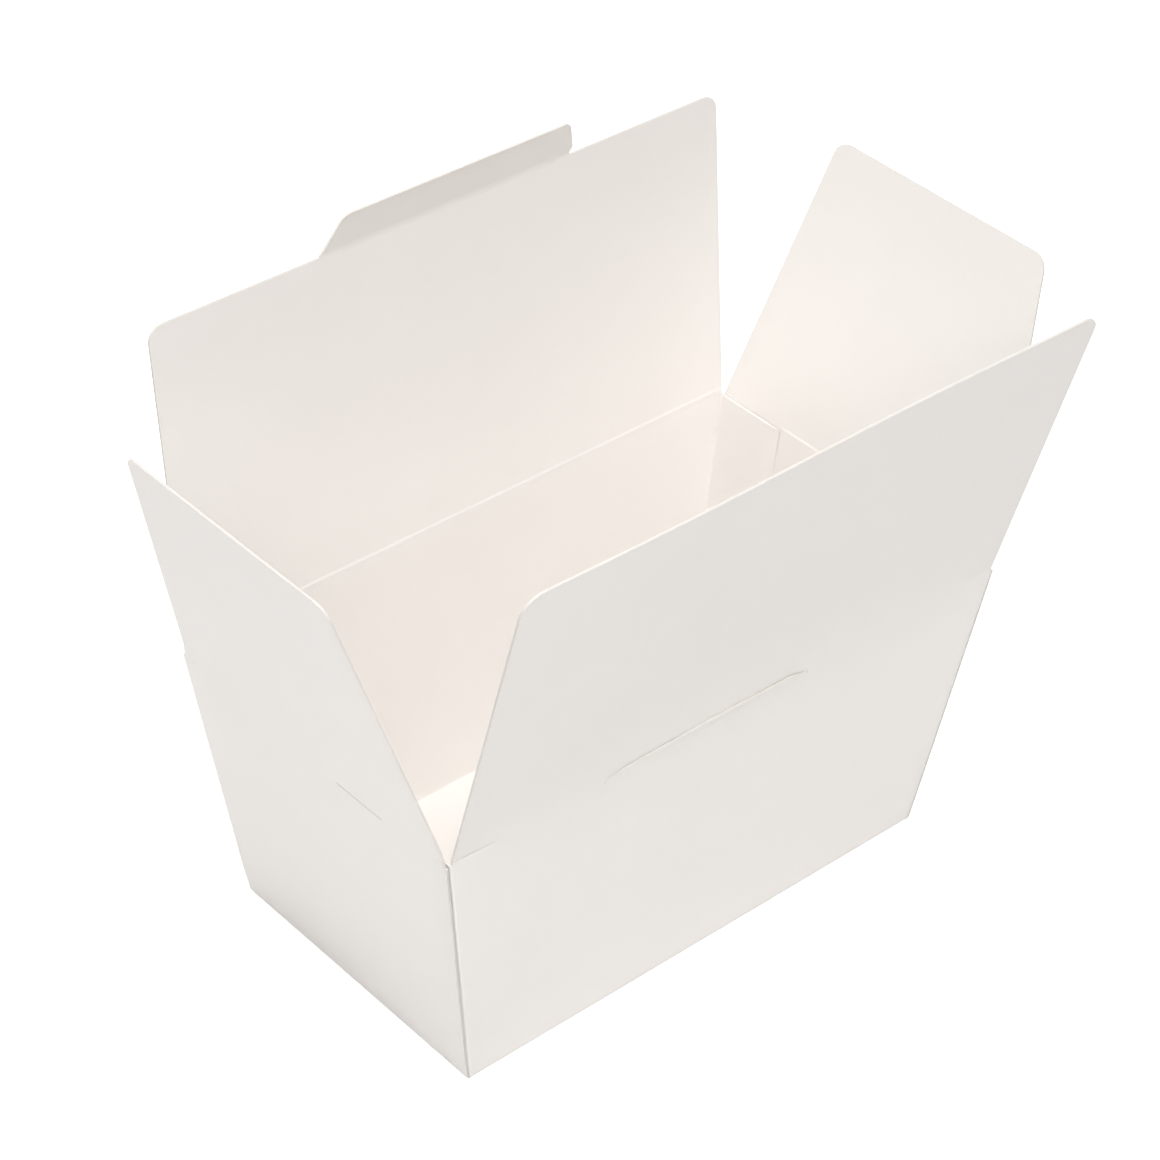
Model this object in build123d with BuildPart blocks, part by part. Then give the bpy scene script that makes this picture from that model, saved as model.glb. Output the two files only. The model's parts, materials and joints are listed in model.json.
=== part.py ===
"""Candy box of folded card, open, with four hinged top flaps and a tuck tongue.

Millimetres. X runs along the long side, Y from front to back, Z up.
The origin is the middle of the outer face of the base.
Every flap is drawn at the angle that it springs back to when the box stands open.
"""

import os
from math import atan, cos, radians, sin, tan

from build123d import *

# Card
card = 0.45
layer_clearance = 0.10
crease_gap = 0.06

# Tapered body, outer sizes
base_length = 119.0
base_width = 68.0
top_length = 140.0
top_width = 78.4
back_crease_height = 64.6
standing_fold_radius = 0.8
base_fold_radius = 0.6

# Glued corners: the front and back walls carry tabs that lie inside the end walls
glue_tab_reach = 17.0
glue_tab_drop = 0.6
end_edge_setback = 0.4
corner_relief = 1.6

# Flaps: depth from crease to free edge, and lean outwards from upright
front_flap_depth = 70.6
back_flap_depth = 67.2
end_flap_depth = 62.2
front_lean = 14.0
back_lean = 7.0
left_lean = 17.2
right_lean = 15.8

# Outline of the flaps
long_flap_crease_inset = 1.0
long_flap_edge_inset = 0.6
end_flap_crease_inset = 0.8
end_flap_taper = 9.4
front_corner_radius = 4.5
back_corner_radius = 3.2
end_corner_radius = 3.6

# Tongue on the free edge of the back flap, measured along that edge seen from outside
tongue_depth = 8.8
tongue_left_reach = 30.4
tongue_right_reach = 31.5
tongue_slant = 6.5
tongue_short_slant = 1.4
tongue_slant_radius = 3.0
tongue_short_radius = 1.8
tongue_hook = 1.0
tongue_hook_height = 1.6
tongue_fold = 14.0

# Slit on the front crease: a low lip stays on the wall and the flap has a window around it
slit_length = 51.0
slit_ramp = 5.0
slit_rise = 1.2
slit_gap = 0.12
slit_offset = -7.8
lip_root = 2.0

# Nick beside the left crease
nick_length = 13.0
nick_width = 0.16
nick_drop = 1.7
nick_offset = -14.0

# Derived levels: each crease lies one card and one clearance under the one that folds over it
layer_step = card + layer_clearance
front_crease_height = back_crease_height - layer_step
end_crease_height = front_crease_height - layer_step
knuckle_radius = card / 2
edge_drop = knuckle_radius + crease_gap

long_wall_slope = atan((top_width - base_width) / 2 / back_crease_height)
end_wall_slope = atan((top_length - base_length) / 2 / back_crease_height)
card_across_long = card / cos(long_wall_slope)
card_across_end = card / cos(end_wall_slope)


def half_length(height):
    """Half of the outer length at a height."""
    return base_length / 2 + height * tan(end_wall_slope)


def half_width(height):
    """Half of the outer width at a height."""
    return base_width / 2 + height * tan(long_wall_slope)


# Crease axes run in the middle of the card
front_crease_y = card_across_long / 2 - half_width(front_crease_height)
back_crease_y = half_width(back_crease_height) - card_across_long / 2
end_crease_x = half_length(end_crease_height) - card_across_end / 2

# A crease plane has X along the crease, Y up the flap and Z out of the box
front_crease = Plane(
    origin=(0, front_crease_y, front_crease_height),
    x_dir=(1, 0, 0),
    z_dir=(0, -cos(radians(front_lean)), -sin(radians(front_lean))),
)
back_crease = Plane(
    origin=(0, back_crease_y, back_crease_height),
    x_dir=(-1, 0, 0),
    z_dir=(0, cos(radians(back_lean)), -sin(radians(back_lean))),
)
left_crease = Plane(
    origin=(-end_crease_x, 0, end_crease_height),
    x_dir=(0, -1, 0),
    z_dir=(-cos(radians(left_lean)), 0, -sin(radians(left_lean))),
)
right_crease = Plane(
    origin=(end_crease_x, 0, end_crease_height),
    x_dir=(0, 1, 0),
    z_dir=(cos(radians(right_lean)), 0, -sin(radians(right_lean))),
)
front_wall_plane = Plane(
    origin=(0, front_crease_y, front_crease_height),
    x_dir=(1, 0, 0),
    z_dir=(0, -cos(long_wall_slope), -sin(long_wall_slope)),
)
left_wall_plane = Plane(
    origin=(-end_crease_x, 0, end_crease_height),
    x_dir=(0, -1, 0),
    z_dir=(-cos(end_wall_slope), 0, -sin(end_wall_slope)),
)


def across(crease, start):
    """Plane square to a crease, at a place along it."""
    return Plane(
        origin=crease.origin + crease.x_dir * start,
        x_dir=crease.y_dir,
        z_dir=crease.x_dir,
    )


# Carton body: base, four walls and the glue tabs, one sheet of card
tray_inset = card_across_end
cavity_inset = 2 * card_across_end
tab_end_inset = card_across_long + glue_tab_reach
rim = back_crease_height + card

with BuildPart() as carton_body:
    # Front wall, back wall and tabs, folded around the corners
    with BuildSketch() as tray_foot:
        RectangleRounded(base_length - 2 * tray_inset, base_width, standing_fold_radius)
    with BuildSketch(Plane.XY.offset(rim)) as tray_rim:
        RectangleRounded(
            2 * (half_length(rim) - tray_inset),
            2 * half_width(rim),
            standing_fold_radius,
        )
    loft()
    tray_feet = carton_body.edges().group_by(Axis.Z)[0]
    fillet(tray_feet, radius=base_fold_radius)

    # End walls stand outside the tabs, and their raw edges stop short of the folds
    with BuildSketch() as end_foot:
        Rectangle(base_length, base_width - 2 * end_edge_setback)
    with BuildSketch(Plane.XY.offset(rim)) as end_rim:
        Rectangle(2 * half_length(rim), 2 * (half_width(rim) - end_edge_setback))
    end_block = loft(mode=Mode.PRIVATE)
    end_feet = end_block.edges().group_by(Axis.Z)[0].filter_by(Axis.Y)
    add(end_block.fillet(base_fold_radius, end_feet))

    # Hollow between the tabs, then the wider hollow between the end walls
    with BuildSketch(Plane.XY.offset(card)) as cavity_foot:
        RectangleRounded(
            2 * (half_length(card) - cavity_inset),
            2 * (half_width(card) - card_across_long),
            standing_fold_radius - card,
        )
    with BuildSketch(Plane.XY.offset(rim)) as cavity_rim:
        RectangleRounded(
            2 * (half_length(rim) - cavity_inset),
            2 * (half_width(rim) - card_across_long),
            standing_fold_radius - card,
        )
    loft(mode=Mode.SUBTRACT)
    with BuildSketch(Plane.XY.offset(card)) as bay_foot:
        Rectangle(
            2 * (half_length(card) - tray_inset),
            2 * (half_width(card) - tab_end_inset),
        )
    with BuildSketch(Plane.XY.offset(rim)) as bay_rim:
        Rectangle(
            2 * (half_length(rim) - tray_inset),
            2 * (half_width(rim) - tab_end_inset),
        )
    loft(mode=Mode.SUBTRACT)

    # Walls end just under their creases: back highest, then front, then ends
    clear_length = 2 * half_length(rim) + card
    clear_width = 2 * half_width(rim) + card
    with BuildSketch(Plane.XY.offset(back_crease_height - edge_drop)) as above_back:
        Rectangle(clear_length, clear_width)
    extrude(amount=2 * card, mode=Mode.SUBTRACT)
    with BuildSketch(Plane.XY.offset(front_crease_height - edge_drop)) as above_front:
        with Locations((0, -clear_width / 2)):
            Rectangle(clear_length, clear_width)
    extrude(amount=2 * layer_step, mode=Mode.SUBTRACT)
    relief_x = half_length(rim) - corner_relief
    with BuildSketch(Plane.XY.offset(end_crease_height - edge_drop)) as above_ends:
        with Locations((relief_x + clear_length / 2, 0), (-relief_x - clear_length / 2, 0)):
            Rectangle(clear_length, clear_width)
    extrude(amount=3 * layer_step, mode=Mode.SUBTRACT)
    tab_top = end_crease_height - glue_tab_drop
    tab_x = half_length(tab_top) - 1.5 * card_across_end
    tab_y = half_width(tab_top) - standing_fold_radius - glue_tab_reach / 2
    with BuildSketch(Plane.XY.offset(tab_top)) as above_tabs:
        with Locations((tab_x, tab_y), (tab_x, -tab_y), (-tab_x, tab_y), (-tab_x, -tab_y)):
            Rectangle(card, glue_tab_reach)
    extrude(amount=2 * glue_tab_drop, mode=Mode.SUBTRACT)

    # Lip of the slit, standing on the front wall in the plane of the wall
    with BuildSketch(front_wall_plane) as lip_outline:
        with BuildLine() as lip_line:
            Polyline(
                (slit_offset - slit_length / 2, -lip_root),
                (slit_offset + slit_length / 2, -lip_root),
                (slit_offset + slit_length / 2, -edge_drop),
                (slit_offset + slit_length / 2 - slit_ramp, slit_rise),
                (slit_offset - slit_length / 2 + slit_ramp, slit_rise),
                (slit_offset - slit_length / 2, -edge_drop),
                close=True,
            )
        make_face()
    extrude(amount=card / 2, both=True)

    # Nick through the left wall
    with BuildSketch(left_wall_plane) as nick_outline:
        with Locations((-nick_offset, -nick_drop)):
            Rectangle(nick_length, nick_width)
    extrude(amount=card, both=True, mode=Mode.SUBTRACT)

carton_body.part.label = "carton_body"

# Long flaps: straight sides that spread a little from the inset crease to the free edge
front_half = half_length(front_crease_height)
back_half = half_length(back_crease_height)

with BuildPart() as front_flap:
    front_foot = front_half - long_flap_crease_inset
    front_edge = front_half - long_flap_edge_inset
    with BuildSketch(front_crease) as front_outline:
        with BuildLine() as front_line:
            Polyline(
                (-front_foot, 0),
                (front_foot, 0),
                (front_edge, front_flap_depth),
                (-front_edge, front_flap_depth),
                close=True,
            )
        make_face()
        front_corners = front_outline.vertices().group_by(Axis.Z)[-1]
        fillet(front_corners, radius=front_corner_radius)
    extrude(amount=card / 2, both=True)
    with BuildSketch(across(front_crease, -front_foot)) as front_knuckle:
        Circle(knuckle_radius)
    extrude(amount=2 * front_foot)

    # Window around the lip
    window_half = slit_length / 2 + slit_gap
    window_top = slit_rise + slit_gap
    with BuildSketch(front_crease) as window_outline:
        with BuildLine() as window_line:
            Polyline(
                (slit_offset - window_half, -card),
                (slit_offset + window_half, -card),
                (slit_offset + window_half, 0),
                (slit_offset + window_half - slit_ramp, window_top),
                (slit_offset - window_half + slit_ramp, window_top),
                (slit_offset - window_half, 0),
                close=True,
            )
        make_face()
    extrude(amount=card, both=True, mode=Mode.SUBTRACT)

front_flap.part.label = "front_flap"

with BuildPart() as back_flap:
    back_foot = back_half - long_flap_crease_inset
    back_edge = back_half - long_flap_edge_inset
    with BuildSketch(back_crease) as back_outline:
        with BuildLine() as back_line:
            Polyline(
                (-back_foot, 0),
                (back_foot, 0),
                (back_edge, back_flap_depth),
                (-back_edge, back_flap_depth),
                close=True,
            )
        make_face()
        back_corners = back_outline.vertices().group_by(Axis.Z)[-1]
        fillet(back_corners, radius=back_corner_radius)
    extrude(amount=card / 2, both=True)
    with BuildSketch(across(back_crease, -back_foot)) as back_knuckle:
        Circle(knuckle_radius)
    extrude(amount=2 * back_foot)

back_flap.part.label = "back_flap"

# Tongue, hinged along the free edge of the back flap and already bent a little inwards
tongue_axis_height = back_flap_depth + edge_drop
tongue_origin = back_crease.origin + back_crease.y_dir * tongue_axis_height
tongue_lean = radians(back_lean - tongue_fold)
tongue_crease = Plane(
    origin=tongue_origin,
    x_dir=(-1, 0, 0),
    z_dir=(0, cos(tongue_lean), -sin(tongue_lean)),
)

with BuildPart() as tuck_tongue:
    # The X of the crease plane points to the left end of the box
    with BuildSketch(tongue_crease) as tongue_outline:
        with BuildLine() as tongue_line:
            Polyline(
                (tongue_left_reach, 0),
                (tongue_left_reach - tongue_slant, tongue_depth),
                (-tongue_right_reach + tongue_short_slant, tongue_depth),
                (-tongue_right_reach, tongue_hook_height),
                (-tongue_right_reach + tongue_hook, 0),
                close=True,
            )
        make_face()
        slant_corner = tongue_outline.vertices().group_by(Axis.Z)[-1].sort_by(Axis.X)[0]
        fillet(slant_corner, radius=tongue_slant_radius)
        short_corner = tongue_outline.vertices().group_by(Axis.Z)[-1].sort_by(Axis.X)[-1]
        fillet(short_corner, radius=tongue_short_radius)
    extrude(amount=card / 2, both=True)
    tongue_foot = tongue_hook - tongue_right_reach
    with BuildSketch(across(tongue_crease, tongue_foot)) as tongue_knuckle:
        Circle(knuckle_radius)
    extrude(amount=tongue_left_reach - tongue_foot)

tuck_tongue.part.label = "tuck_tongue"

# End flaps narrow towards their free edges so that they drop between the long walls
end_foot_half = half_width(end_crease_height) - end_flap_crease_inset
end_edge_half = end_foot_half - end_flap_depth * tan(radians(end_flap_taper))

with BuildPart() as left_end_flap:
    with BuildSketch(left_crease) as left_outline:
        with BuildLine() as left_line:
            Polyline(
                (-end_foot_half, 0),
                (end_foot_half, 0),
                (end_edge_half, end_flap_depth),
                (-end_edge_half, end_flap_depth),
                close=True,
            )
        make_face()
        left_corners = left_outline.vertices().group_by(Axis.Z)[-1]
        fillet(left_corners, radius=end_corner_radius)
    extrude(amount=card / 2, both=True)
    with BuildSketch(across(left_crease, -end_foot_half)) as left_knuckle:
        Circle(knuckle_radius)
    extrude(amount=2 * end_foot_half)

left_end_flap.part.label = "left_end_flap"

with BuildPart() as right_end_flap:
    with BuildSketch(right_crease) as right_outline:
        with BuildLine() as right_line:
            Polyline(
                (-end_foot_half, 0),
                (end_foot_half, 0),
                (end_edge_half, end_flap_depth),
                (-end_edge_half, end_flap_depth),
                close=True,
            )
        make_face()
        right_corners = right_outline.vertices().group_by(Axis.Z)[-1]
        fillet(right_corners, radius=end_corner_radius)
    extrude(amount=card / 2, both=True)
    with BuildSketch(across(right_crease, -end_foot_half)) as right_knuckle:
        Circle(knuckle_radius)
    extrude(amount=2 * end_foot_half)

right_end_flap.part.label = "right_end_flap"

os.makedirs("parts", exist_ok=True)
export_step(carton_body.part, "parts/carton_body.step")
export_step(front_flap.part, "parts/front_flap.step")
export_step(back_flap.part, "parts/back_flap.step")
export_step(tuck_tongue.part, "parts/tuck_tongue.step")
export_step(left_end_flap.part, "parts/left_end_flap.step")
export_step(right_end_flap.part, "parts/right_end_flap.step")
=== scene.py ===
"""An open candy box of white coated card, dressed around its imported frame.

Metres. X runs along the long side, Y from front to back, Z up.
Every piece is a sheet of card with an outer face, an inner face and cut edges.
"""

import json
import math

import bmesh
import bpy
from mathutils import Matrix, Vector


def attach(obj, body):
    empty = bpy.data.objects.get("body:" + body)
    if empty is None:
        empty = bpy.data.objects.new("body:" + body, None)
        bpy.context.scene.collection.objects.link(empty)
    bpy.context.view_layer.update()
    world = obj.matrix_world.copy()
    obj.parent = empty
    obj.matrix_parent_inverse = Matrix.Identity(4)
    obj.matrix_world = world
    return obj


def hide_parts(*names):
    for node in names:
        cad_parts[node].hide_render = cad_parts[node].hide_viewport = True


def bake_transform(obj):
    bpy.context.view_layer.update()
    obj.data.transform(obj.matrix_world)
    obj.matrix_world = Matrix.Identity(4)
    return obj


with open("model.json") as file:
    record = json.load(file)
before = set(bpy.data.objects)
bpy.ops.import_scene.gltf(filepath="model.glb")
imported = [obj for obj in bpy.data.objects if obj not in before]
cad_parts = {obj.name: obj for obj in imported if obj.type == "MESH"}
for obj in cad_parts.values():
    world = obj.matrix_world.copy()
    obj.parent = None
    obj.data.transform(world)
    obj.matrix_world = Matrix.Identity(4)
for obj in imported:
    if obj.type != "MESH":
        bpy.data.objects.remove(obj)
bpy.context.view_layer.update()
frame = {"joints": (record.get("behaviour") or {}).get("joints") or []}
joints = {joint["name"]: joint for joint in frame["joints"]}

mm = 0.001

# Card and tapered body
card = 0.45 * mm
base_length = 119.0 * mm
base_width = 68.0 * mm
top_length = 140.0 * mm
top_width = 78.4 * mm
standing_fold_radius = 0.55 * mm
base_fold_radius = 0.6 * mm
glue_tab_reach = 17.0 * mm
glue_tab_drop = 0.05 * mm
glue_tab_foot = 1.6 * mm
tab_edge_pinch = 0.43 * mm
tab_edge_band = 4.0 * mm
end_edge_setback = 0.15 * mm

# Flaps and tongue
front_flap_depth = 70.6 * mm
back_flap_depth = 67.2 * mm
end_flap_depth = 62.2 * mm
long_flap_crease_inset = 1.0 * mm
long_flap_edge_inset = 0.6 * mm
end_flap_crease_inset = 0.8 * mm
end_flap_taper = math.radians(9.4)
front_corner_radius = 4.5 * mm
back_corner_radius = 3.2 * mm
end_corner_radius = 3.6 * mm
tongue_depth = 7.2 * mm
tongue_left_reach = 30.4 * mm
tongue_right_reach = 31.5 * mm
tongue_slant = 5.3 * mm
tongue_short_slant = 1.4 * mm
tongue_slant_radius = 3.0 * mm
tongue_short_radius = 1.8 * mm
tongue_hook = 1.0 * mm
tongue_hook_height = 1.6 * mm
tongue_curl = 0.25 * mm

# Slit, short cut and nick
slit_length = 51.0 * mm
slit_ramp = 5.0 * mm
slit_rise = 1.2 * mm
slit_gap = 0.12 * mm
slit_offset = -7.8 * mm
cut_length = 9.0 * mm
cut_gap = 0.10 * mm
nick_length = 13.0 * mm
nick_width = 0.16 * mm
nick_drop = 1.7 * mm
nick_middle = -14.0 * mm

# Creases: how far a fold reaches on each side, and the bead inside, which rises slowly and falls quickly
seam_drop = 0.8 * mm
fold_reach = 0.5 * mm
bead_height = 0.115 * mm
tongue_bead_height = 0.06 * mm
bead_width = 0.7 * mm
bead_fade = 2.0 * mm
foot_band = 3.0 * mm
edge_band = 6.0 * mm

# Springy card: the walls and flaps bow towards each other beside the middle of a crease
bow_reach = 12.0 * mm
bow_fade = 14.0 * mm

# The lip of the slit stands a little proud, and the flap above it a little behind
lip_push = 0.45 * mm
flap_pull = 0.24 * mm
slit_open = 0.32 * mm
slit_skew = 1.3
slit_fullness = 0.3
slit_roll = 0.06 * mm
slit_roll_reach = 0.5 * mm

# A slight wave in the front flap's free edge
edge_wave = 0.45 * mm
edge_wave_top = 20.0 * mm
edge_wave_length = 110.0 * mm

# Raw edges of the end walls, which stand off the glued corners, most at the top
corner_gap_low = 0.20 * mm
corner_gap_high = 0.38 * mm
corner_gap_reach = 4.0 * mm
corner_gap_start = 12
right_gap_share = 0.3

# Mesh
grid_step = 2.2 * mm
cut_step = 0.01 * mm
arc_steps = 8
base_arc_steps = 6
fold_rows = 10
lip_steps = 4
tab_edge_steps = 4
sharp_angle = math.radians(35)

# Creases of the frame
front_crease = Vector(joints["front_flap_crease"]["pos_m"])
back_crease = Vector(joints["back_flap_crease"]["pos_m"])
left_crease = Vector(joints["left_flap_crease"]["pos_m"])
right_crease = Vector(joints["right_flap_crease"]["pos_m"])
tongue_crease = Vector(joints["tongue_crease"]["pos_m"])

upright = math.radians(90)


def lean_of(joint_name):
    """How far a flap leans out from upright: it closes from there to level."""
    return upright + math.radians(joints[joint_name]["range_deg"][0])


front_lean = lean_of("front_flap_crease")
back_lean = lean_of("back_flap_crease")
left_lean = lean_of("left_flap_crease")
right_lean = lean_of("right_flap_crease")
tongue_fold = math.radians(joints["tongue_crease"]["range_deg"][1])

long_wall_slope = math.atan((top_width - base_width) / 2 / back_crease.z)
end_wall_slope = math.atan((top_length - base_length) / 2 / back_crease.z)
card_across_long = card / math.cos(long_wall_slope)
card_across_end = card / math.cos(end_wall_slope)
corner_level = left_crease.z - card / 2


def half_length(height):
    """Half of the outer length at a height."""
    return base_length / 2 + height * math.tan(end_wall_slope)


def half_width(height):
    """Half of the outer width at a height."""
    return base_width / 2 + height * math.tan(long_wall_slope)


def smooth(value):
    """Smooth step from 0 to 1."""
    value = min(1.0, max(0.0, value))
    return value * value * (3 - 2 * value)


def mix(start, end, share):
    """The value that lies a share of the way from start to end."""
    return start + (end - start) * share


def spread(start, stop, step):
    """Even values from start to stop, both included."""
    count = max(1, round(abs(stop - start) / step))
    return [mix(start, stop, i / count) for i in range(count + 1)]


def spread_through(places, step):
    """Even values that pass through each place in the list."""
    values = [places[0]]
    for start, stop in zip(places, places[1:]):
        values += spread(start, stop, step)[1:]
    return values


# Materials

coated_light = (0.873, 0.838, 0.805)
coated_dark = (0.860, 0.825, 0.792)
inner_light = (0.845, 0.816, 0.787)
inner_dark = (0.832, 0.801, 0.771)
# Cut edge colours: the raw fibre's greyer tone, darkened further as painted shade that dims the light
# the edges catch
painted_shade_cut_light = (0.700, 0.667, 0.632)
painted_shade_cut_dark = (0.665, 0.632, 0.597)
cloud_scale = 28
cloud_detail = 3
cloud_low = 0.35
cloud_high = 0.65
fibre_detail = 6
fibre_share = 0.4
noise_roughness = 0.6
gloss_spread = 0.05


def noise(nodes, links, coordinates, scale, detail, stretch=(1, 1, 1)):
    """Noise over the piece's own coordinates, as a value socket."""
    mapping = nodes.new("ShaderNodeMapping")
    mapping.inputs["Scale"].default_value = stretch
    texture = nodes.new("ShaderNodeTexNoise")
    texture.inputs["Scale"].default_value = scale
    texture.inputs["Detail"].default_value = detail
    texture.inputs["Roughness"].default_value = noise_roughness
    links.new(coordinates, mapping.inputs["Vector"])
    links.new(mapping.outputs["Vector"], texture.inputs["Vector"])
    return texture.outputs["Fac"]


def card_material(name, light, dark, rough, gloss, fibre_scale, fibre_depth, stretch=(1, 1, 1)):
    """Card with soft cloudy colour, fine fibres and uneven gloss."""
    material = bpy.data.materials.new(name)
    material.use_nodes = True
    nodes = material.node_tree.nodes
    links = material.node_tree.links
    shader = nodes["Principled BSDF"]
    coordinates = nodes.new("ShaderNodeTexCoord").outputs["Object"]

    clouds = noise(nodes, links, coordinates, cloud_scale, cloud_detail)
    fibres = noise(nodes, links, coordinates, fibre_scale, fibre_detail, stretch)
    cloud_range = nodes.new("ShaderNodeMapRange")
    cloud_range.inputs["From Min"].default_value = cloud_low
    cloud_range.inputs["From Max"].default_value = cloud_high
    links.new(clouds, cloud_range.inputs["Value"])
    both = nodes.new("ShaderNodeMix")
    both.inputs["Factor"].default_value = fibre_share
    links.new(cloud_range.outputs["Result"], both.inputs["A"])
    links.new(fibres, both.inputs["B"])
    colour = nodes.new("ShaderNodeMix")
    colour.data_type = "RGBA"
    colour.inputs["A"].default_value = (*dark, 1)
    colour.inputs["B"].default_value = (*light, 1)
    links.new(both.outputs["Result"], colour.inputs["Factor"])
    links.new(colour.outputs["Result"], shader.inputs["Base Color"])

    roughness = nodes.new("ShaderNodeMapRange")
    roughness.inputs["To Min"].default_value = rough - gloss_spread
    roughness.inputs["To Max"].default_value = rough + gloss_spread
    links.new(fibres, roughness.inputs["Value"])
    links.new(roughness.outputs["Result"], shader.inputs["Roughness"])
    shader.inputs["Specular IOR Level"].default_value = gloss

    bump = nodes.new("ShaderNodeBump")
    bump.inputs["Strength"].default_value = 1
    bump.inputs["Distance"].default_value = fibre_depth
    links.new(fibres, bump.inputs["Height"])
    links.new(bump.outputs["Normal"], shader.inputs["Normal"])
    return material


def make_outer_face():
    """The coated face outside."""
    return card_material(
        "coated_outer_face",
        coated_light,
        coated_dark,
        rough=0.50,
        gloss=0.35,
        fibre_scale=900,
        fibre_depth=0.004 * mm,
    )


def make_inner_face():
    """The plain face inside."""
    return card_material(
        "plain_inner_face",
        inner_light,
        inner_dark,
        rough=0.72,
        gloss=0.25,
        fibre_scale=650,
        fibre_depth=0.010 * mm,
    )


def make_cut_edge_with_painted_shade():
    """The raw cut edge, with its fibres drawn out along the height, in the fibre's greyer tone darkened
    further by painted shade that dims the light the edges catch.
    """
    return card_material(
        "cut_card_edge_with_painted_shade",
        painted_shade_cut_light,
        painted_shade_cut_dark,
        rough=0.85,
        gloss=0.15,
        fibre_scale=1500,
        fibre_depth=0.020 * mm,
        stretch=(1, 1, 4),
    )


finishes = [make_outer_face(), make_inner_face(), make_cut_edge_with_painted_shade()]


# Meshes


class Card:
    """The points and faces of one piece of card, gathered sheet by sheet."""

    def __init__(self):
        self.points = []
        self.faces = []
        self.finish = []

    def add_sheet(self, outer, inner, keep=None):
        """Adds a sheet from its outer and inner grids of points, with cut edges round the cells kept."""
        rows = len(outer) - 1
        columns = len(outer[0]) - 1
        start = len(self.points)
        for grid in (outer, inner):
            for line in grid:
                self.points += line
        under = (rows + 1) * (columns + 1)

        def kept(row, column):
            inside = 0 <= row < rows and 0 <= column < columns
            return inside and (keep is None or keep(row, column))

        def at(corner):
            return start + corner[0] * (columns + 1) + corner[1]

        for row in range(rows):
            for column in range(columns):
                if not kept(row, column):
                    continue
                ring = [(row, column), (row, column + 1), (row + 1, column + 1), (row + 1, column)]
                beside = [(row - 1, column), (row, column + 1), (row + 1, column), (row, column - 1)]
                self.faces.append([at(corner) for corner in ring])
                self.faces.append([at(corner) + under for corner in reversed(ring)])
                self.finish += [0, 1]
                for index, neighbour in enumerate(beside):
                    if kept(*neighbour):
                        continue
                    here = at(ring[index])
                    there = at(ring[(index + 1) % len(ring)])
                    self.faces.append([there, here, here + under, there + under])
                    self.finish.append(2)

    def build(self, name):
        """Makes the object, with smooth faces between sharp cut edges."""
        mesh = bpy.data.meshes.new(name)
        mesh.from_pydata(self.points, [], self.faces)
        for material in finishes:
            mesh.materials.append(material)
        mesh.polygons.foreach_set("material_index", self.finish)
        shape = bmesh.new()
        shape.from_mesh(mesh)
        loose = [vertex for vertex in shape.verts if not vertex.link_faces]
        bmesh.ops.delete(shape, geom=loose, context="VERTS")
        bmesh.ops.recalc_face_normals(shape, faces=shape.faces)
        shape.to_mesh(mesh)
        shape.free()
        mesh.polygons.foreach_set("use_smooth", [True] * len(mesh.polygons))
        mesh.set_sharp_from_angle(angle=sharp_angle)
        piece = bpy.data.objects.new(name, mesh)
        bpy.context.scene.collection.objects.link(piece)
        return piece


class Crease:
    """A crease and the card on both sides of it, which leans out by the wall angle and the flap angle.

    A springy crease bows its card. The bead stops where the glue tabs begin, tabs in from each end.
    """

    def __init__(self, origin, half_run, along, outward, wall_angle, flap_angle, springy=True, tabs=0):
        self.springy = springy
        self.bead_run = half_run - tabs
        self.bead_rise = bow_reach if springy else seam_drop
        self.bead_height = bead_height if springy else tongue_bead_height
        self.origin = origin
        self.half_run = half_run
        self.along = Vector(along)
        self.outward = Vector(outward)
        self.wall_angle = wall_angle
        self.flap_angle = flap_angle

    def up(self, angle):
        """The way up along the card where it leans out by an angle."""
        return self.outward * math.sin(angle) + Vector((0, 0, math.cos(angle)))

    def out(self, angle):
        """The way out of the card where it leans out by an angle."""
        return self.outward * math.cos(angle) - Vector((0, 0, math.sin(angle)))

    def softness(self, x):
        """How softly the card bends at x: not at all at the crease's ends, fully in its middle."""
        return smooth((self.half_run - abs(x)) / bow_fade) if self.springy else 0

    def bow(self, x, y):
        """How far the card bows out at x along the crease and y up from it."""
        rest = max(0, bow_reach - abs(y))
        return self.softness(x) * (self.flap_angle - self.wall_angle) * rest**2 / bow_reach / 4

    def bead(self, x, y):
        """How far the inner face stands proud at x along the crease and y up from it."""
        share = 1 - smooth(y / bead_width) if y > 0 else smooth(1 + y / self.bead_rise)
        return self.bead_height * share * smooth((self.bead_run - abs(x)) / bead_fade)

    def faces(self, x, y, push=0):
        """The outer and inner point of the card at x along the crease and y up from it."""
        softness = self.softness(x)
        sharp = smooth(0.5 + y / fold_reach / 2)
        side = mix(sharp, 1 if y > 0 else 0, softness)
        turn = mix(sharp, min(1, max(0, 0.5 + y / bow_reach / 2)), softness)
        middle = self.origin + self.along * x
        middle += (self.up(self.wall_angle) * (1 - side) + self.up(self.flap_angle) * side) * y
        out = self.out(mix(self.wall_angle, self.flap_angle, turn))
        middle += out * (self.bow(x, y) + push)
        outer = middle + out * card / 2
        inner = middle - out * (card / 2 + self.bead(x, y))
        return outer, inner

    def blend(self, piece, wall_body, flap_body):
        """Bakes the piece's placement into its mesh. The wall body and flap body are not used."""
        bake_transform(piece)


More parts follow.
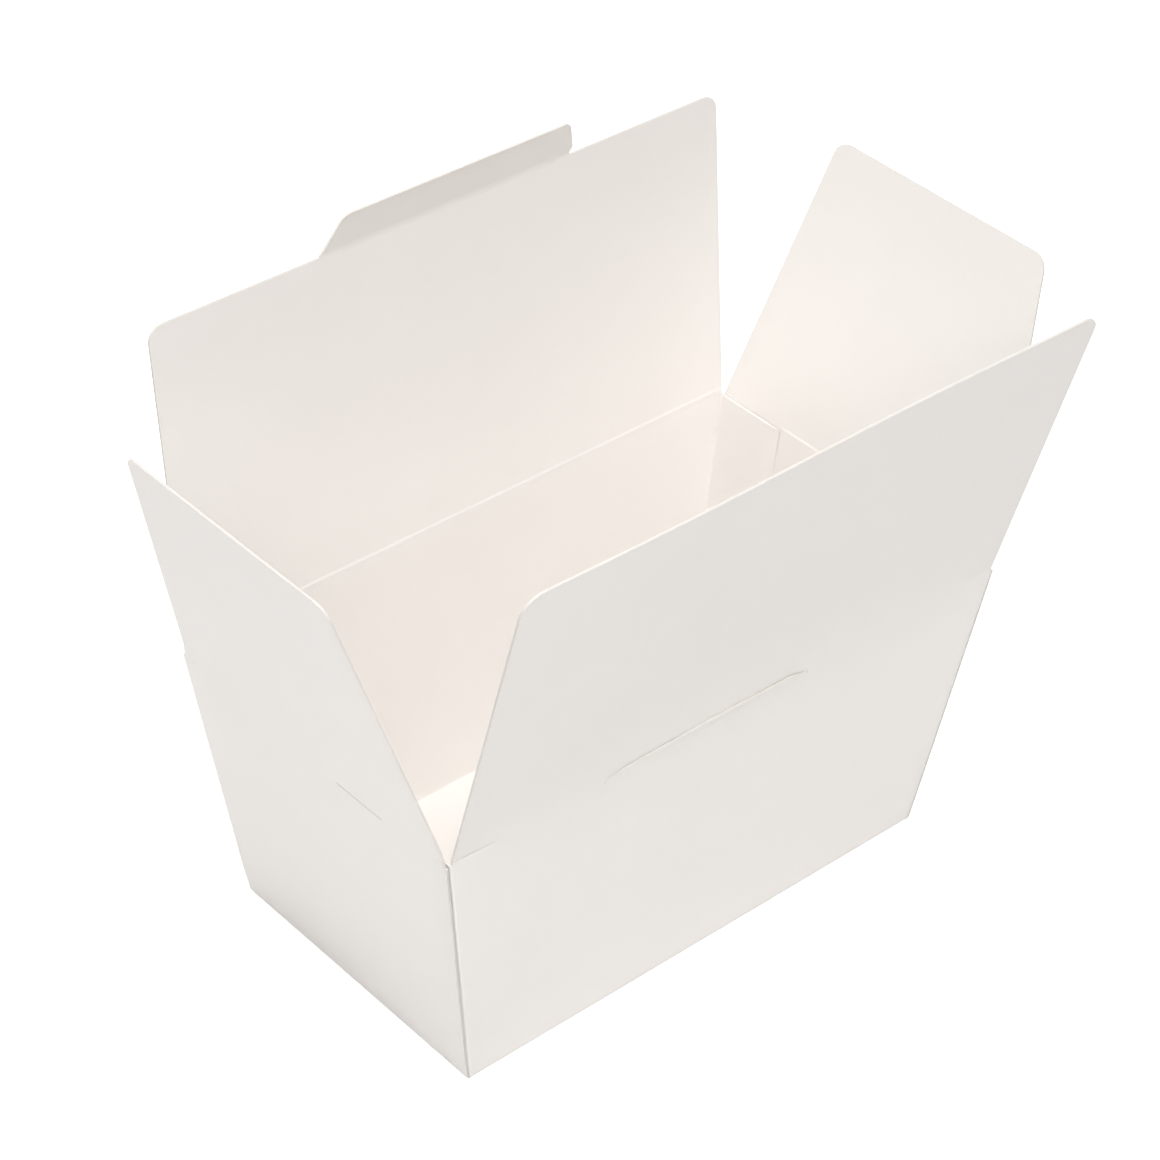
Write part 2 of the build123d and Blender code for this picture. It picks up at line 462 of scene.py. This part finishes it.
class RoundedSide:
    """How far a flap reaches to one side: a straight line with a rounded corner at its end."""

    def __init__(self, foot, end, depth, radius):
        self.foot = foot
        self.slope = (end - foot) / depth
        length = math.hypot(1, self.slope)
        self.centre_y = depth - radius
        self.centre_x = foot + self.slope * self.centre_y - radius * length
        self.turn_y = self.centre_y - radius * self.slope / length
        self.radius = radius

    def reach(self, y):
        """The reach at a height above the crease."""
        if y <= self.turn_y:
            return self.foot + self.slope * max(y, 0)
        rise = min(y - self.centre_y, self.radius)
        return self.centre_x + math.sqrt(max(self.radius**2 - rise**2, 0))


def corner_rows(depth, radius):
    """Heights round a corner of a flap, up to its free edge."""
    return [depth - radius * (1 - math.sin(upright * i / arc_steps)) for i in range(1, arc_steps + 1)]


def flap_rows(depth, radius):
    """Heights up a flap, close together at the crease and round the corners."""
    rows = spread(-seam_drop, seam_drop, 2 * seam_drop / fold_rows)
    rows += spread(seam_drop, foot_band, grid_step / 2)[1:]
    rows += spread(foot_band, depth - radius, grid_step)[1:]
    return rows + corner_rows(depth, radius)


def flap_sheet(crease, columns, rows, inner_reach, left, right, lower, upper, push=lambda x, y: 0):
    """A flap's outer and inner grids. Columns past inner_reach follow the flap's sides."""
    outer_grid = []
    inner_grid = []
    depth = rows[-1]
    for level in rows:
        outer_line = []
        inner_line = []
        reaches = (left(level), right(level))
        for column in columns:
            side = 0 if column < 0 else 1
            across = abs(column)
            if across > inner_reach:
                limit = abs(columns[-side])
                across = mix(inner_reach, reaches[side], (across - inner_reach) / (limit - inner_reach))
            x = math.copysign(across, column)
            y = level
            if level < foot_band:
                y = mix(lower(column), foot_band, (level - rows[0]) / (foot_band - rows[0]))
            y += (upper(x) - depth) * smooth((level - depth + edge_band) / edge_band)
            outer, inner = crease.faces(x, y, push(x, y))
            outer_line.append(outer)
            inner_line.append(inner)
        outer_grid.append(outer_line)
        inner_grid.append(inner_line)
    return outer_grid, inner_grid


# Where the sheet is cut along the front crease, x along the crease and y up from it

front_foot = half_length(front_crease.z) - card_across_end - standing_fold_radius
back_foot = half_length(back_crease.z) - card_across_end - standing_fold_radius
end_foot = half_width(left_crease.z) - end_edge_setback
front_fold = Crease(front_crease, front_foot, (1, 0, 0), (0, -1, 0), long_wall_slope, front_lean)
back_fold = Crease(back_crease, back_foot, (1, 0, 0), (0, 1, 0), long_wall_slope, back_lean)
left_fold = Crease(
    left_crease,
    end_foot,
    (0, 1, 0),
    (-1, 0, 0),
    end_wall_slope,
    left_lean,
    tabs=glue_tab_reach,
)
right_fold = Crease(
    right_crease,
    end_foot,
    (0, 1, 0),
    (1, 0, 0),
    end_wall_slope,
    right_lean,
    tabs=glue_tab_reach,
)
tongue_lean = back_lean - tongue_fold
tongue_bend = Crease(
    tongue_crease,
    tongue_left_reach,
    (1, 0, 0),
    (0, 1, 0),
    back_lean,
    tongue_lean,
    springy=False,
)
slit_left = slit_offset - slit_length / 2
slit_right = slit_offset + slit_length / 2


def slit_level(x, gap):
    """The cut line of the slit at x, moved up by a gap, or None outside the slit."""
    if not slit_left - gap <= x <= slit_right + gap:
        return None
    along = min(x - slit_left + gap, slit_right + gap - x)
    return mix(0, slit_rise + gap, min(1, along / slit_ramp))


def front_wall_top(x):
    """Where the front wall ends: at the seam, the short cut or the lip of the slit."""
    lip = slit_level(x, 0)
    if lip is not None:
        return lip
    if x < cut_length - front_foot:
        return -cut_gap
    return -seam_drop


def slit_bulge(x):
    """How far the slit springs open at x: nothing at its ends and most to the right of its middle."""
    share = (x - slit_left) / slit_length
    if not 0 < share < 1:
        return 0
    return math.sin(math.pi * share**slit_skew) ** slit_fullness


def front_flap_foot(x):
    """Where the front flap begins: at the seam, the short cut or the window of the slit."""
    window = slit_level(x, slit_gap)
    if window is not None:
        return window + (slit_open - slit_gap) * slit_bulge(x)
    if x < cut_length - front_foot:
        return cut_gap
    return -seam_drop


def seam(x):
    """A flap that begins at its seam all along."""
    return -seam_drop


def cut_columns(foot, places):
    """Columns along a crease, with a close pair at each place where a cut begins or ends."""
    pairs = []
    for place in sorted(places):
        pairs += [place - cut_step, place + cut_step]
    return spread_through([-foot, *pairs, foot], grid_step)


slit_places = [slit_left - slit_gap, slit_left, slit_left + slit_ramp]
slit_places += [slit_right - slit_ramp, slit_right, slit_right + slit_gap]
front_columns = cut_columns(front_foot, [cut_length - front_foot, *slit_places])
tongue_places = [-tongue_left_reach, tongue_right_reach - tongue_hook]
back_columns = cut_columns(back_foot, tongue_places)


# Body: the two long walls with their glue tabs, then the base with the end walls


def tab_pinch(value):
    """How much thinner a glued tab is pressed at its free edge."""
    return tab_edge_pinch * smooth(1 - (glue_tab_reach - abs(value)) / tab_edge_band)


def section_point(kind, value, length, width, radius, depth):
    """A point of a long wall's level section, seen with the wall at -Y: on the wall, a fold or a tab."""
    if kind == "wall":
        return value * (length - radius), -width
    side = math.copysign(1, value)
    if kind == "fold":
        turn = abs(value)
        x = length - radius + radius * math.sin(turn)
        return side * x, radius - width - radius * math.cos(turn)
    return side * (length + tab_pinch(value) * depth), radius - width + abs(value)


def wall_bow(fold, x, z, depth):
    """How far a face of a wall bows out at x along it and z above the base, the slit's lip included."""
    up = (z - fold.origin.z) / math.cos(fold.wall_angle)
    bow = fold.bow(x, up) - fold.bead(x, up) * depth
    if fold is front_fold and up > -seam_drop:
        bow += lip_push * slit_bulge(x) * smooth((up + seam_drop) / (slit_rise + seam_drop))
    return bow / math.cos(fold.wall_angle)


def long_wall(body, fold, columns, foot, wall_top, side):
    """A long wall with its folds and glue tabs. Side is -1 at the front and 1 at the back."""
    crease = fold.origin
    seam_level = crease.z - seam_drop * math.cos(long_wall_slope)
    folds = [upright * i / arc_steps for i in range(1, arc_steps + 1)]
    tabs = spread_through([0, glue_tab_reach - tab_edge_band], grid_step)[1:]
    tabs += spread(glue_tab_reach - tab_edge_band, glue_tab_reach, tab_edge_band / tab_edge_steps)[1:]
    path = [("tab", -value) for value in reversed(tabs)]
    path += [("fold", -value) for value in reversed(folds)]
    path += [("wall", value / foot) for value in columns]
    path += [("fold", value) for value in folds]
    path += [("tab", value) for value in tabs]

    base_turns = [upright * i / base_arc_steps for i in range(base_arc_steps)]
    heights = spread(base_fold_radius, seam_level, grid_step)
    lip_rows = [i / lip_steps for i in range(1, lip_steps + 1)]
    outer_grid = []
    inner_grid = []

    def add_row(height_of, turn):
        outer_line = []
        inner_line = []
        for kind, value in path:
            for line, depth, radius in (
                (outer_line, 0, base_fold_radius),
                (inner_line, 1, base_fold_radius - card),
            ):
                inset = radius * (1 - math.sin(turn))
                height = height_of(kind, value)
                z = height
                if turn < upright:
                    z = card * depth + radius * (1 - math.cos(turn))
                length = half_length(z) - card_across_end * (1 + depth) - inset
                width = half_width(z) - card_across_long * depth - inset
                bend = standing_fold_radius - card * depth - inset
                x, y = section_point(kind, value, length, width, bend, depth)
                if kind == "wall":
                    if height > seam_level:
                        x = value * foot
                    y -= wall_bow(fold, x, z, depth)
                line.append(Vector((x, -side * y, z)))
        outer_grid.append(outer_line)
        inner_grid.append(inner_line)

    for turn in base_turns:
        add_row(lambda kind, value: 0, turn)
    for height in heights:
        share = (height - base_fold_radius) / (seam_level - base_fold_radius)

        def level(kind, value, share=share):
            if kind == "tab":
                return mix(glue_tab_foot, corner_level - glue_tab_drop, share)
            return mix(base_fold_radius, corner_level if kind == "fold" else seam_level, share)

        add_row(level, upright)
    for share in lip_rows:

        def lip_level(kind, value, share=share):
            if kind != "wall":
                return seam_level
            return mix(seam_level, crease.z + wall_top(value * foot) * math.cos(long_wall_slope), share)

        add_row(lip_level, upright)

    wall_start = len(tabs) + len(folds)
    wall_stop = wall_start + len(columns) - 1
    last_height = len(base_turns) + len(heights) - 1

    def keep(row, column):
        in_tab = column < len(tabs) or column >= len(path) - 1 - len(tabs)
        if row < len(base_turns):
            return not in_tab
        if row < last_height:
            return True
        if not wall_start <= column < wall_stop:
            return False
        middle = (path[column][1] + path[column + 1][1]) / 2 * foot
        return wall_top(middle) > cut_step - seam_drop

    body.add_sheet(outer_grid, inner_grid, keep)


def corner_gap(fold, from_edge, z):
    """How far an end wall stands off its corner at a distance from its raw edge, least on the right."""
    rise = (z - base_fold_radius) / (corner_level - base_fold_radius)
    gap = mix(corner_gap_low, corner_gap_high, rise) * smooth(rise * corner_gap_start)
    if fold is right_fold:
        gap *= right_gap_share
    return gap * smooth(1 - from_edge / corner_gap_reach)


def base_and_ends(body):
    """The base and the two end walls, one strip of card that stands round the tabs."""
    seam_level = left_crease.z - seam_drop * math.cos(end_wall_slope)
    nick_level = left_crease.z - nick_drop * math.cos(end_wall_slope)
    top_half = half_width(seam_level) - end_edge_setback
    nick_ends = [nick_middle - nick_length / 2, nick_middle + nick_length / 2]
    columns = spread_through([-top_half, *nick_ends, top_half], grid_step)
    shares = [value / top_half for value in columns]
    nick_sides = [nick_level - nick_width / 2, nick_level + nick_width / 2]
    heights = spread_through([base_fold_radius, *nick_sides, seam_level], grid_step)
    turns = [upright * i / base_arc_steps for i in range(base_arc_steps)]
    flat_end = base_length / 2 - base_fold_radius
    flats = spread(-flat_end, flat_end, grid_step)[1:-1]

    path = [("wall", -1, height) for height in reversed(heights)]
    path += [("fold", -1, turn) for turn in reversed(turns)]
    path += [("base", 1, x) for x in flats]
    path += [("fold", 1, turn) for turn in turns]
    path += [("wall", 1, height) for height in heights]

    def place(kind, side, value, depth):
        radius = base_fold_radius - card * depth
        if kind == "base":
            return value, card * depth
        if kind == "fold":
            z = card * depth + radius * (1 - math.cos(value))
            return side * (half_length(z) - card_across_end * depth - radius * (1 - math.sin(value))), z
        return side * (half_length(value) - card_across_end * depth), value

    grids = []
    for depth in (0, 1):
        grid = []
        for kind, side, value in path:
            x, z = place(kind, side, value, depth)
            half = half_width(z) - end_edge_setback
            if kind == "base":
                half = base_width / 2 - base_fold_radius
            fold = left_fold if side < 0 else right_fold
            line = []
            for share in shares:
                y = share * half
                out = 0
                if kind == "wall":
                    out = wall_bow(fold, y, z, depth) + corner_gap(fold, half - abs(y), z)
                line.append(Vector((x + side * out, y, z)))
            grid.append(line)
        grids.append(grid)

    def keep(row, column):
        kind, side, high = path[row]
        if kind != "wall" or side > 0 or path[row + 1][0] != "wall":
            return True
        level = (high + path[row + 1][2]) / 2
        y = (columns[column] + columns[column + 1]) / 2
        return abs(level - nick_level) > nick_width / 2 or not nick_ends[0] < y < nick_ends[1]

    body.add_sheet(*grids, keep)


def make_body():
    """The carton's base and walls."""
    body = Card()
    long_wall(body, front_fold, front_columns, front_foot, front_wall_top, -1)
    long_wall(body, back_fold, back_columns, back_foot, seam, 1)
    base_and_ends(body)
    piece = body.build("carton_card")
    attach(piece, "carton_body")
    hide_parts("carton_body")


def make_long_flap(name, node, crease, columns, depth, radius, lower, upper, push=lambda x, y: 0):
    """The front or back flap, whose straight sides spread a little towards the free edge."""
    wall_end = half_length(crease.origin.z)
    edge = wall_end - long_flap_edge_inset
    reach = RoundedSide(wall_end - long_flap_crease_inset, edge, depth, radius).reach
    rows = flap_rows(depth, radius)
    flap = Card()
    inner_reach = edge - radius - grid_step
    flap.add_sheet(*flap_sheet(crease, columns, rows, inner_reach, reach, reach, lower, upper, push))
    piece = flap.build(name)
    crease.blend(piece, "carton_body", node)
    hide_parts(node)


def make_end_flap(name, node, crease):
    """An end flap, which narrows towards its free edge."""
    foot = half_width(crease.origin.z) - end_flap_crease_inset
    end = foot - end_flap_depth * math.tan(end_flap_taper)
    side = RoundedSide(foot, end, end_flap_depth, end_corner_radius)
    rows = flap_rows(end_flap_depth, end_corner_radius)
    columns = cut_columns(foot, [])
    inner_reach = end - end_corner_radius - grid_step

    def push(x, y):
        return corner_gap(crease, end_foot - abs(x), corner_level) * smooth(1 - y / foot_band)

    flap = Card()
    sides = (side.reach, side.reach)
    ends = (seam, lambda x: end_flap_depth)
    flap.add_sheet(*flap_sheet(crease, columns, rows, inner_reach, *sides, *ends, push))
    piece = flap.build(name)
    crease.blend(piece, "carton_body", node)
    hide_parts(node)


def make_tongue(crease):
    """The tuck tongue, slanted at its left end and with a small hook at its right end."""
    left_end = tongue_left_reach - tongue_slant
    right_end = tongue_right_reach - tongue_short_slant
    left = RoundedSide(tongue_left_reach, left_end, tongue_depth, tongue_slant_radius)
    right = RoundedSide(tongue_right_reach, right_end, tongue_depth, tongue_short_radius)

    def right_reach(y):
        hook = tongue_hook * smooth(1 - y / tongue_hook_height)
        return right.reach(y) - hook

    def curl(x, y):
        return tongue_curl * smooth(y / tongue_depth)

    rows = spread_through([-seam_drop, seam_drop, tongue_hook_height], 2 * seam_drop / fold_rows)
    rows += spread(tongue_hook_height, tongue_depth - tongue_slant_radius, grid_step / 2)[1:]
    rows += corner_rows(tongue_depth, tongue_slant_radius)
    columns = spread_through([-tongue_left_reach, 0, tongue_right_reach - tongue_hook], grid_step)
    inner_reach = left_end - tongue_slant_radius - grid_step
    tongue = Card()
    sides = (left.reach, right_reach)
    ends = (seam, lambda x: tongue_depth)
    tongue.add_sheet(*flap_sheet(crease, columns, rows, inner_reach, *sides, *ends, curl))
    piece = tongue.build("tongue_card")
    crease.blend(piece, "back_flap", "tuck_tongue")
    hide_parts("tuck_tongue")


def front_flap_edge(x):
    """The front flap's free edge, which waves a little."""
    return front_flap_depth + edge_wave * math.cos(math.tau * (x - edge_wave_top) / edge_wave_length)


def front_flap_push(x, y):
    """The front flap lies a little behind the lip beside the slit, and its cut edge rolls in."""
    pull = flap_pull * smooth(1 - y / foot_band)
    roll = slit_roll * smooth(1 - (y - front_flap_foot(x)) / slit_roll_reach)
    return -(pull + roll) * slit_bulge(x)


def back_flap_edge(x):
    """The back flap's free edge, which stops at the tongue's seam where the tongue goes on."""
    if tongue_places[0] < x < tongue_places[1]:
        return (tongue_crease - back_crease).length - seam_drop
    return back_flap_depth


make_body()
make_long_flap(
    "front_flap_card",
    "front_flap",
    front_fold,
    front_columns,
    front_flap_depth,
    front_corner_radius,
    front_flap_foot,
    front_flap_edge,
    front_flap_push,
)
make_long_flap(
    "back_flap_card",
    "back_flap",
    back_fold,
    back_columns,
    back_flap_depth,
    back_corner_radius,
    seam,
    back_flap_edge,
)
make_end_flap("left_flap_card", "left_end_flap", left_fold)
make_end_flap("right_flap_card", "right_end_flap", right_fold)
make_tongue(tongue_bend)


# Floor, light and camera

floor_size = 6.0
floor_colour = (0.86, 0.86, 0.86, 1)
floor_lift = 0.45
world_light = 0.01

# Lamps: place in metres, width and power
lamps = {
    "front_light": ((-0.8, -0.9, 1.2), 0.8, 8.1),
    "front_top_light": ((-0.4, -0.5, 1.3), 0.6, 9.4),
    "top_light": ((0.0, -0.6, 1.4), 0.6, 7.5),
    "back_top_light": ((0.2, 0.5, 1.4), 0.6, 5.6),
    "back_light": ((0.2, 1.0, 1.2), 0.6, 5.3),
    "low_left_light": ((-1.6, -0.1, 0.14), 0.9, 6.4),
}


def make_floor():
    """A pale floor that shows white to the camera and keeps the box's shadow."""
    mesh = bpy.data.meshes.new("floor")
    half = floor_size / 2
    corners = [(-half, -half, 0), (half, -half, 0), (half, half, 0), (-half, half, 0)]
    mesh.from_pydata(corners, [], [[0, 1, 2, 3]])
    material = bpy.data.materials.new("pale_floor")
    material.use_nodes = True
    nodes = material.node_tree.nodes
    links = material.node_tree.links
    nodes.clear()
    output = nodes.new("ShaderNodeOutputMaterial")
    diffuse = nodes.new("ShaderNodeBsdfDiffuse")
    diffuse.inputs["Color"].default_value = floor_colour
    lift = nodes.new("ShaderNodeEmission")
    rays = nodes.new("ShaderNodeLightPath")
    strength = nodes.new("ShaderNodeMath")
    strength.operation = "MULTIPLY"
    strength.inputs[1].default_value = floor_lift
    links.new(rays.outputs["Is Camera Ray"], strength.inputs[0])
    links.new(strength.outputs["Value"], lift.inputs["Strength"])
    total = nodes.new("ShaderNodeAddShader")
    links.new(diffuse.outputs["BSDF"], total.inputs[0])
    links.new(lift.outputs["Emission"], total.inputs[1])
    links.new(total.outputs["Shader"], output.inputs["Surface"])
    mesh.materials.append(material)
    floor = bpy.data.objects.new("floor", mesh)
    bpy.context.scene.collection.objects.link(floor)


def make_world(strength):
    """Even pale light from all round, and white where the camera sees past the floor."""
    world = bpy.data.worlds.new("studio")
    bpy.context.scene.world = world
    world.use_nodes = True
    nodes = world.node_tree.nodes
    links = world.node_tree.links
    background = nodes["Background"]
    background.inputs["Color"].default_value = (1, 1, 1, 1)
    background.inputs["Strength"].default_value = strength
    white = nodes.new("ShaderNodeBackground")
    white.inputs["Color"].default_value = (1, 1, 1, 1)
    rays = nodes.new("ShaderNodeLightPath")
    choose = nodes.new("ShaderNodeMixShader")
    links.new(rays.outputs["Is Camera Ray"], choose.inputs["Fac"])
    links.new(background.outputs["Background"], choose.inputs[1])
    links.new(white.outputs["Background"], choose.inputs[2])
    links.new(choose.outputs["Shader"], nodes["World Output"].inputs["Surface"])


def make_lamp(name, place, size, power):
    """A soft square lamp that faces the box."""
    lamp = bpy.data.lights.new(name, "AREA")
    lamp.shape = "SQUARE"
    lamp.size = size
    lamp.energy = power
    holder = bpy.data.objects.new(name, lamp)
    holder.location = place
    aim = Vector((0, 0, back_crease.z)) - Vector(place)
    holder.rotation_euler = aim.to_track_quat("-Z", "Y").to_euler()
    bpy.context.scene.collection.objects.link(holder)


camera_place = Vector((-365.71, -387.65, 477.86)) * mm
camera_azimuth = math.radians(-42.931)
camera_elevation = math.radians(37.427)
camera_roll = math.radians(2.686)
photo_width_px = 1160
focal_length_px = 3501.3
sensor_width_mm = 36
camera_clip_start = 0.01


def make_camera():
    """The photograph's camera."""
    camera = bpy.data.cameras.new("camera")
    camera.sensor_width = sensor_width_mm
    camera.lens = sensor_width_mm * focal_length_px / photo_width_px
    camera.clip_start = camera_clip_start
    holder = bpy.data.objects.new("camera", camera)
    level = Matrix.Rotation(camera_azimuth, 4, "Z") @ Matrix.Rotation(upright - camera_elevation, 4, "X")
    holder.matrix_world = Matrix.Translation(camera_place) @ level @ Matrix.Rotation(camera_roll, 4, "Z")
    bpy.context.scene.collection.objects.link(holder)
    bpy.context.scene.camera = holder


make_floor()
make_world(world_light)
for lamp_name, (lamp_place, lamp_size, lamp_power) in lamps.items():
    make_lamp(lamp_name, lamp_place, lamp_size, lamp_power)
make_camera()

bpy.context.scene.view_settings.view_transform = "Standard"
